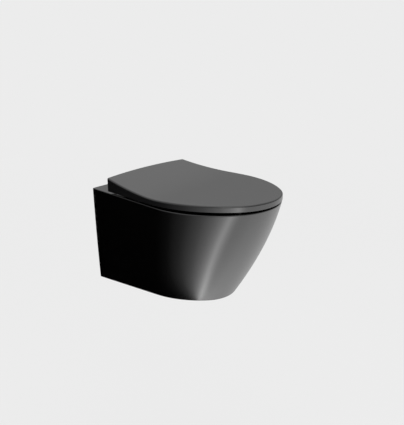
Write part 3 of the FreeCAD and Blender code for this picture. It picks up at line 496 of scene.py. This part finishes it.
bm = bmesh.new()
outside = quarter(FOOT_ROUND, FOOT, upwards=False)[::-1]
outside += [(0.0, height) for height in between(FOOT + FOOT_ROUND, RIM - RIM_ROUND, OUTSIDE_LINES)]
outside += quarter(RIM_ROUND, RIM)
inside = [
    (SKIN, height)
    for height in (FOOT_INSIDE, *between(FOOT_INSIDE, DECK_UNDER, INSIDE_LINES), DECK_UNDER)
]
for profile in (outside, inside):
    bridge(bm, [half_outline(bm, pan_size(height), height, inset)[0] for inset, height in profile])
mouth = quarter(MOUTH_ROUND, RIM)[::-1] + [(0.0, DECK_UNDER)]
bridge(bm, [half_oval(bm, *MOUTH, height, grow) for grow, height in mouth])
mirror_half(bm)
for height in (RIM, DECK_UNDER, FOOT, FOOT_INSIDE):
    close_line(bm, level(height))
    loose = [
        edge for edge in bm.edges
        if len(edge.link_faces) < 2 and all(level(height)(vert.co) for vert in edge.verts)
    ]
    bmesh.ops.triangle_fill(bm, edges=loose, use_beauty=True)
bmesh.ops.triangle_fill(bm, edges=open_edges(bm, lambda co: abs(co.y) < SAME), use_beauty=True)
rim = pan_size(RIM)
radii = arc_radii(rim["half"], rim["reach"] - rim["widest_at"])
print("side and nose radius of the rim, mm:", [round(1000 * radius, 1) for radius in radii])
print("pan skin, open edges left:", sum(len(edge.link_faces) != 2 for edge in bm.edges))
finish_piece("pan_skin", bm, "pan", "pan_shell")

# %% [markdown]
# ## The lid
# The lid wraps over the seat like a shallow tray upside down: a vertical edge all round, a flat top,
# and towards the wall a top that rises in one long arc. Its back is bowed. The walls go up in level
# lines first, and only then does the arc lift everything above the lower edge, because a lift that
# depends on the distance from the wall alone keeps the sides straight. Cutting the cap into narrow
# strips with bisect_plane gives the arc its faces.

# %% Lid sizes
LID = {"back": 0.1616, "half": 0.1865, "reach": 0.520, "widest_at": 0.280}
LID_LOW, LID_TOP, LID_WALL, CORNER_AT, BOW = 0.0863, 0.1030, 0.0045, 0.0785, 0.0102
LID_ROUND, LIP_ROUND, LIP_BREAK, CORNER_ROUND = 0.0045, 0.0015, 0.0006, 0.006
CORNER_STEPS, BOW_STEPS = 8, 20
RISE_FROM, RISE = 0.2949, 0.0223
RISE_RADIUS = ((RISE_FROM - CORNER_AT) ** 2 + RISE ** 2) / (2 * RISE)
BOW_RADIUS = (LID["back"] ** 2 + BOW ** 2) / (2 * BOW)
BOW_CENTRE = Vector((0, BOW - BOW_RADIUS - CORNER_AT))
WINDOW_HALF = 0.128


def lift(y):
    """How far the lid's top stands over its flat front, at a place y."""
    behind = max(0.0, RISE_FROM + y)
    return RISE_RADIUS - math.sqrt(RISE_RADIUS ** 2 - behind ** 2)


def rear_corner():
    """The centre of the lid's round rear corner, and the ways from it to the flank and the bow."""
    side = arc_radii(LID["half"], LID["reach"] - LID["widest_at"])[0]
    side_centre = Vector((LID["half"] - side, -LID["widest_at"]))
    spoke = Vector((LID["back"], -CORNER_AT)) - side_centre
    leave = math.atan2(spoke.y, spoke.x) - math.acos(side / spoke.length)
    outwards = Vector((math.cos(leave), math.sin(leave)))
    along = Vector((-math.sin(leave), math.cos(leave)))
    start = side_centre + outwards * (side - CORNER_ROUND)
    away = start - BOW_CENTRE
    ahead = away.dot(along)
    centre = start + along * (
        math.sqrt(ahead ** 2 - away.length_squared + (BOW_RADIUS - CORNER_ROUND) ** 2) - ahead
    )
    return centre, outwards, (centre - BOW_CENTRE).normalized()


def lid_line(bm, height, inset):
    """Half the lid's outline with its round corner and bowed back."""
    centre, to_flank, to_bow = rear_corner()
    edges, tip = half_outline(bm, LID, height, inset, centre + to_flank * (CORNER_ROUND - inset))
    bend = math.atan2(to_bow.y, to_bow.x) - math.atan2(to_flank.y, to_flank.x)
    more, tip = spin_point(bm, tip, (*centre, height), bend, CORNER_STEPS)
    edges += more
    more, tip = spin_point(bm, tip, (*BOW_CENTRE, height), math.atan2(to_bow.x, to_bow.y), BOW_STEPS)
    tip.co.x = 0
    return edges + more


print("lid rises by", round(1000 * lift(-CORNER_AT), 1), "mm at its corners")

# %% [markdown]
# ## Up the inner wall, round the lip and over the edge
# One profile makes the whole wall of the tray. The part of the wall that faces the hinges is then
# deleted, because the hinge blocks stand there, and the hole is closed again round that window.

# %% Lid shell
CEILING = LID_TOP - LID_WALL
REAR_FROM = 0.09
SLICE_FROM, SLICE_STEP, SLICES = 0.062, 0.008, 29


def in_window(face):
    """Whether a face is in the stretch of rear wall that makes room for the hinges."""
    centre = face.calc_center_median()
    return abs(centre.x) < WINDOW_HALF and centre.y > -REAR_FROM and centre.z < CEILING - NEAR


bm = bmesh.new()
profile = [(LID_WALL, CEILING), (LID_WALL, LID_LOW + LIP_BREAK), (LID_WALL - LIP_BREAK, LID_LOW)]
profile += quarter(LIP_ROUND, LID_LOW, upwards=False)[::-1] + quarter(LID_ROUND, LID_TOP, steps=8)
bridge(bm, [lid_line(bm, height, inset) for inset, height in profile])
mirror_half(bm)
for height in (CEILING, LID_TOP):
    bmesh.ops.triangle_fill(bm, edges=open_edges(bm, level(height)), use_beauty=True)
for side in (-1, 1):
    bmesh.ops.bisect_plane(bm, geom=everything(bm), plane_co=(side * WINDOW_HALF, 0, 0), plane_no=(1, 0, 0))
bmesh.ops.delete(bm, geom=[face for face in bm.faces if in_window(face)], context="FACES")
bmesh.ops.bridge_loops(bm, edges=open_edges(bm, level(CEILING)))
for side in (-1, 1):
    cheek = open_edges(bm, lambda co: abs(co.x - side * WINDOW_HALF) < NEAR)
    bmesh.ops.contextual_create(bm, geom=cheek)
for step in range(SLICES):
    slice_at = -SLICE_FROM - SLICE_STEP * step
    bmesh.ops.bisect_plane(bm, geom=everything(bm), plane_co=(0, slice_at, 0), plane_no=(0, 1, 0))
for vert in bm.verts:
    if vert.co.z > LID_LOW + LIP_ROUND + NEAR:
        vert.co.z += lift(vert.co.y)
print("lid shell, open edges left:", sum(len(edge.link_faces) != 2 for edge in bm.edges))

# %% [markdown]
# ## Knuckles
# Lid and seat turn on the same two shafts. Each has a barrel, or knuckle, on both sides, open towards
# the hinge block and closed at its far end. A barrel is its own section spun once round the axis. On
# the lid, a rib joins each barrel to the underside of the top.


# %% Knuckles
AXIS_AT, AXIS_HEIGHT, KNUCKLE, BORE = 0.068, 0.108, 0.011, 0.0085
END_WALL, KNUCKLE_BREAK, KNUCKLE_STEPS = 0.004, 0.0006, 48
LID_MOUTH_AT, LID_END_AT = 0.0635, 0.024
RIB_FROM, RIB_TO, RIB_BACK, RIB_FRONT, RIB_TOP = 0.0245, 0.0630, 0.0702, 0.0738, 0.1240


def knuckle(bm, mouth_x, end_x):
    """A barrel round the hinge axis, open at mouth_x and closed at end_x."""
    way = math.copysign(1.0, end_x - mouth_x)
    bottom_x = end_x - END_WALL * way
    shoulder = KNUCKLE - KNUCKLE_BREAK
    corners = [
        (bottom_x, 0.0), (bottom_x, BORE), (mouth_x, BORE), (mouth_x, shoulder),
        (mouth_x + KNUCKLE_BREAK * way, KNUCKLE), (end_x - KNUCKLE_BREAK * way, KNUCKLE),
        (end_x, shoulder), (end_x, 0.0),
    ]
    verts = [bm.verts.new((x, -AXIS_AT, AXIS_HEIGHT + radius)) for x, radius in corners]
    edges = [bm.edges.new(pair) for pair in zip(verts, verts[1:])]
    bmesh.ops.spin(
        bm, geom=verts + edges, cent=(0, -AXIS_AT, AXIS_HEIGHT), axis=(1, 0, 0), dvec=(0, 0, 0),
        angle=2 * math.pi, steps=KNUCKLE_STEPS, use_merge=True, use_duplicate=False,
    )
    bmesh.ops.remove_doubles(bm, verts=bm.verts, dist=SAME)


def bar(bm, low, high):
    """A block between two corners."""
    low, high = Vector(low), Vector(high)
    verts = bmesh.ops.create_cube(bm, size=1.0)["verts"]
    bmesh.ops.scale(bm, verts=verts, vec=high - low)
    bmesh.ops.translate(bm, verts=verts, vec=(low + high) / 2)


for side in (-1, 1):
    knuckle(bm, side * LID_MOUTH_AT, side * LID_END_AT)
    left, right = sorted((side * RIB_FROM, side * RIB_TO))
    bar(bm, (left, -RIB_FRONT, AXIS_HEIGHT), (right, -RIB_BACK, RIB_TOP))
finish_piece("lid_cover", bm, "lid", "lid")

# %% [markdown]
# ## The seat
# The ring lies just inside the lid. Its plan is the lid's, 6.5 mm in, with round corners at the back,
# and an oval hole. All its edges are well rounded, since it is sat on. A web behind the ring, one on
# each side, carries the seat's own knuckles.

# %% Seat ring
SEAT = {"back": 0.157, "half": 0.180, "reach": 0.5135, "widest_at": 0.280}
SEAT_LOW, SEAT_TOP, SEAT_AT = 0.0863, 0.0968, 0.100
HOLE = (0.110, 0.160, 0.447)
SEAT_ROUND, SEAT_CORNER, CORNER_REACH, BACK_STEPS = 0.003, 0.012, 0.0032, 8
SEAT_MOUTH_AT, SEAT_END_AT = 0.0915, 0.124
WEB = [(0.068, 0.0972), (0.102, 0.0865), (0.125, 0.0966), (0.105, 0.0966), (0.074, 0.1171)]
WEB_FROM, WEB_WIDTH = 0.0920, 0.0315


def seat_line(bm, height, inset):
    """Half the seat's outline, with a straight back."""
    edges, tip = half_outline(bm, SEAT, height, inset, (SEAT["back"] - inset, -SEAT_AT))
    more, tip = pull_point(bm, tip, Vector((0, -SEAT_AT, height)), BACK_STEPS)
    return edges + more


def at_corner(vert):
    """Whether a point is on the seat's sharp rear corner, on any of its lines."""
    away = Vector((vert.co.x, vert.co.y)) - Vector((SEAT["back"], -SEAT_AT))
    return away.length < CORNER_REACH and abs(vert.co.y + SEAT_AT) < SAME


bm = bmesh.new()
wall = quarter(SEAT_ROUND, SEAT_LOW, upwards=False)[::-1] + quarter(SEAT_ROUND, SEAT_TOP)
bridge(bm, [seat_line(bm, height, inset) for inset, height in wall])
upright = [
    edge for edge in bm.edges
    if all(at_corner(vert) for vert in edge.verts) and abs(edge.verts[0].co.z - edge.verts[1].co.z) > SAME
]
bmesh.ops.bevel(
    bm, geom=upright, offset=SEAT_CORNER, offset_type="OFFSET", segments=6, profile=0.5,
    affect="EDGES", material=-1,
)
bridge(bm, [half_oval(bm, *HOLE, height, inset) for inset, height in wall])
mirror_half(bm)
for height in (SEAT_LOW, SEAT_TOP):
    bmesh.ops.triangle_fill(bm, edges=open_edges(bm, level(height)), use_beauty=True)
print("seat ring, open edges left:", sum(len(edge.link_faces) != 2 for edge in bm.edges))
for side in (-1, 1):
    knuckle(bm, side * SEAT_MOUTH_AT, side * SEAT_END_AT)
    web = bm.faces.new([bm.verts.new((side * WEB_FROM, -at, height)) for at, height in WEB])
    grown = bmesh.ops.extrude_face_region(bm, geom=[web])["geom"]
    moved = [item for item in grown if isinstance(item, bmesh.types.BMVert)]
    bmesh.ops.translate(bm, verts=moved, vec=(side * WEB_WIDTH, 0, 0))
finish_piece("seat_skin", bm, "seat", "seat_ring")

# %% [markdown]
# ## Floor and room
# The room is plain and pale. The world gives an even soft light, and rays from the camera and from
# glass or metal see it at the pale grey of the backdrop. The floor is painted nearly the same. It
# keeps a soft shadow, and far out it fades away into the room, so no horizon shows.

# %% Room
PALE, SOFT = 0.839, 0.92


def looked_at(tree):
    """A socket that is 1 for rays that look: from the camera, and off or through a surface."""
    rays = tree.nodes.new("ShaderNodeLightPath")
    seen = rays.outputs["Is Camera Ray"]
    for kind in ("Is Glossy Ray", "Is Transmission Ray"):
        either = tree.nodes.new("ShaderNodeMath")
        either.operation = "MAXIMUM"
        tree.links.new(seen, either.inputs[0])
        tree.links.new(rays.outputs[kind], either.inputs[1])
        seen = either.outputs[0]
    return seen


world = bpy.data.worlds.new("room")
bpy.context.scene.world = world
world.use_nodes = True
tree = world.node_tree
strength = tree.nodes.new("ShaderNodeMapRange")
tree.links.new(looked_at(tree), strength.inputs["Value"])
strength.inputs["To Min"].default_value = SOFT
strength.inputs["To Max"].default_value = PALE
background = tree.nodes["Background"]
background.inputs["Color"].default_value = (1, 1, 1, 1)
tree.links.new(strength.outputs[0], background.inputs["Strength"])
print("room seen at", PALE, "and lighting at", SOFT)


# %% Floor
def stage_piece(name, bm, finish, centre=(0, 0, 0)):
    """A part of the studio."""
    mesh = bpy.data.meshes.new(name)
    bm.to_mesh(mesh)
    bm.free()
    mesh.materials.append(finish.material)
    piece = bpy.data.objects.new(name, mesh)
    piece.location = centre
    bpy.context.scene.collection.objects.link(piece)
    return piece


def surface(finish, shader):
    """Use this shader for the whole surface."""
    finish.tree.links.new(shader.socket, finish.tree.nodes["Material Output"].inputs["Surface"])


FLOOR_HEIGHT, FLOOR_RADIUS, STUDIO_AT = -0.80, 9.0, -0.25
FADE_FROM, FADE_TO, EVEN_SHARE = 1.2, 5.0, 0.8

paint = Finish("floor_paint")
far = paint.node("ShaderNodeVectorMath", {"operation": "LENGTH"}, {0: place(paint)}, output=1)
clear = paint.node("ShaderNodeMapRange", {}, {"Value": far, "From Min": FADE_FROM, "From Max": FADE_TO})
cloudy = noise(paint, scale=3.0)
paint.set(Base_Color=tint(paint, cloudy, dark=(0.84, 0.84, 0.84), light=(0.86, 0.86, 0.86)))
paint.set(Roughness=0.9, Specular_IOR_Level=0.0)
even = paint.node("ShaderNodeEmission", {}, {"Color": (1, 1, 1, 1), "Strength": PALE})
looking = Wire(paint, looked_at(paint.tree))
painted = Wire(paint, paint.shader.outputs[0])
lit = paint.node("ShaderNodeMixShader", {}, {0: EVEN_SHARE * looking, 1: painted, 2: even})
see_through = paint.node("ShaderNodeBsdfTransparent")
surface(paint, paint.node("ShaderNodeMixShader", {}, {0: clear, 1: lit, 2: see_through}))
bm = bmesh.new()
bmesh.ops.create_circle(bm, cap_ends=True, segments=96, radius=FLOOR_RADIUS)
floor = stage_piece("floor", bm, paint, (0, STUDIO_AT, FLOOR_HEIGHT))
print("floor at", round(floor.location.z, 2))

# %% [markdown]
# ## What the gloss sees
# A picture of something black and shiny is a picture of what stands round it. The photographer's
# studio was dark on the left, with one tall narrow light in front to the left, paler cards to the
# right and a grey wall behind. A round cove, which only reflections see, carries those tones. They
# are set by the direction round the pan, like cards stood in a ring. Higher up, the ring gives way to
# a ceiling, which is dimmer and is set by height alone.

# %% Cove for reflections
RING_TONES = [
    (-180, 0.05), (-150, 0.30), (-120, 0.45), (-92, 0.70), (-48, 1.40), (-18, 1.90), (14, 2.00), (23, 2.90),
    (31, 4.40), (40, 2.60), (52, 1.60), (70, 0.75), (94, 0.22), (118, 0.03), (140, 0.0), (180, 0.0),
]
BRIGHTEST = 5.0
ABOVE_SHARES = [(0.0, 0.0), (0.2, 0.06), (0.33, 0.085), (0.6, 0.17), (1.0, 0.18)]
ABOVE_FROM, ABOVE_FULL, ABOVE_TOP = -0.1, 0.5, 3.0
COVE_LINE = [
    (0.0, -0.78), (1.8, -0.78), (2.6, -0.55), (3.0, 0.0), (3.0, 1.2), (2.4, 2.4), (1.2, 3.1), (0.0, 3.2),
]

cove_paint = Finish("cove_tones")
split = cove_paint.node("ShaderNodeSeparateXYZ", {}, {0: place(cove_paint)})
x, y, z = (Wire(cove_paint, output) for output in split.socket.node.outputs)
turn = cove_paint.node("ShaderNodeMath", {"operation": "ARCTAN2"}, {0: 0 - x, 1: 0 - y})
ring_stops = [((angle + 180) / 360, tone / BRIGHTEST) for angle, tone in RING_TONES]
ring = cove_paint.node("ShaderNodeValToRGB", {"stops": ring_stops}, {"Fac": turn / (2 * math.pi) + 0.5})


def climb(low, high):
    """How far up from one height to another, from 0 to 1."""
    return cove_paint.node("ShaderNodeMapRange", {}, {"Value": z, "From Min": low, "From Max": high})


above = cove_paint.node("ShaderNodeValToRGB", {"stops": ABOVE_SHARES}, {"Fac": climb(ABOVE_FROM, ABOVE_TOP)})
rise = climb(ABOVE_FROM, ABOVE_FULL)
tones = cove_paint.node("ShaderNodeMix", {"data_type": "RGBA"}, {0: rise, 6: ring, 7: above}, output=2)
surface(cove_paint, cove_paint.node("ShaderNodeEmission", {}, {"Color": tones, "Strength": BRIGHTEST}))
bm = bmesh.new()
verts = [bm.verts.new((0, -radius, height)) for radius, height in COVE_LINE]
line = [bm.edges.new(pair) for pair in zip(verts, verts[1:])]
bmesh.ops.spin(
    bm, geom=verts + line, cent=(0, 0, 0), axis=(0, 0, 1), dvec=(0, 0, 0), angle=2 * math.pi, steps=96,
    use_merge=True, use_duplicate=False,
)
cove = stage_piece("cove", bm, cove_paint, (0, STUDIO_AT, 0))
for ray in ("camera", "diffuse", "shadow", "transmission", "volume_scatter"):
    setattr(cove, "visible_" + ray, False)
print("cove with", len(RING_TONES), "tones")

# %% [markdown]
# ## Two soft lamps
# Most of the light comes from the room. Two large, weak lamps, one in front to the left and one above,
# give it a side and put the soft shadow on the floor. The gloss reflects them too.

# %% Lamps
PAN_MIDDLE = Vector((0, STUDIO_AT, -0.06))


def lamp(name, power, centre, width, height):
    """A large soft lamp that looks at the middle of the pan."""
    light = bpy.data.lights.new(name, "AREA")
    light.shape = "RECTANGLE"
    light.size, light.size_y = width, height
    light.energy = power
    piece = bpy.data.objects.new(name, light)
    piece.location = centre
    piece.rotation_euler = (Vector(centre) - PAN_MIDDLE).to_track_quat("Z", "Y").to_euler()
    bpy.context.scene.collection.objects.link(piece)


lamp("key", power=6, centre=(-0.9, -1.6, 1.2), width=1.2, height=1.2)
lamp("top", power=5, centre=(0.2, -0.4, 1.8), width=1.6, height=1.6)
print("lamps set")

# %% Finish
scene = bpy.context.scene
scene.view_settings.view_transform = "Standard"
